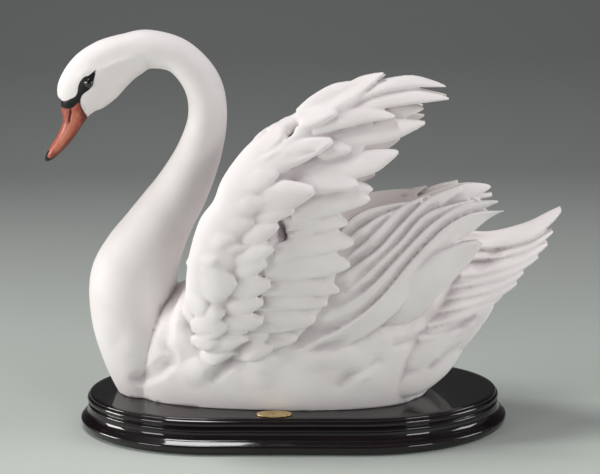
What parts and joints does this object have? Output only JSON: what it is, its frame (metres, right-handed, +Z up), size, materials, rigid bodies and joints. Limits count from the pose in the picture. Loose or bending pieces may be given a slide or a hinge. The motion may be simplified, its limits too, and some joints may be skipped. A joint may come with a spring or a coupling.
{
  "type": "swan figurine",
  "caption": "Matt white cast swan with raised wings and a curved neck, on an oval moulded dark wood plinth with a small bare brass plate.",
  "frame": {"origin": "middle of the plinth's underside, on the surface that the object stands on", "axes": "+Z up, +X along the plinth toward the bird's tail, the bird looks along -X and its left side is -Y"},
  "size_m": [0.3848, 0.1587, 0.3053],
  "materials": {
    "bisque": "matt, unglazed",
    "lacquered_wood": "dark red-brown gloss lacquer",
    "brass": "polished",
    "felt": "felt",
    "steel": "plain"
  },
  "bodies": {
    "root": {"swan": "bisque", "plinth": "lacquered_wood", "badge": "brass", "felt_pad": "felt", "fixing_screw_front": "steel", "fixing_screw_rear": "steel"}
  },
  "joints": []
}
